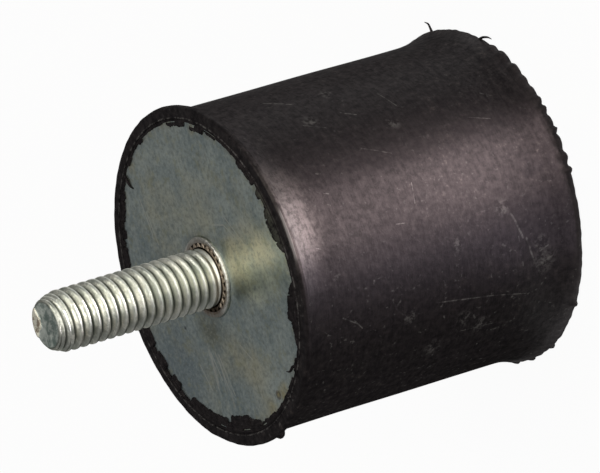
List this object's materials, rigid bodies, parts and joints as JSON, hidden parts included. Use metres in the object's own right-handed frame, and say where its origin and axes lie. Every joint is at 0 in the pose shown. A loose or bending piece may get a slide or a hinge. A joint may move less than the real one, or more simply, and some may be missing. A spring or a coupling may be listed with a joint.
{
  "type": "bobbin vibration mount",
  "caption": "Round rubber bobbin mount with a threaded stud on one end plate and a tapped bush in the other, for isolating vibration between two bolted parts.",
  "frame": {"origin": "centre of the tapped end's face, on the mount's axis, where it stands", "axes": "+Z along the mount's axis, from the tapped end towards the stud"},
  "size_m": [0.053, 0.053, 0.0798],
  "materials": {
    "rubber": "satin black moulded natural rubber",
    "plate_steel": "zinc plated sheet steel, blue-grey with olive tints",
    "stud_steel": "bright zinc plated steel"
  },
  "bodies": {
    "root": {"rubber_body": "rubber", "stud_plate": "plate_steel", "base_plate": "plate_steel", "stud": "stud_steel", "threaded_bush": "stud_steel"}
  },
  "joints": []
}
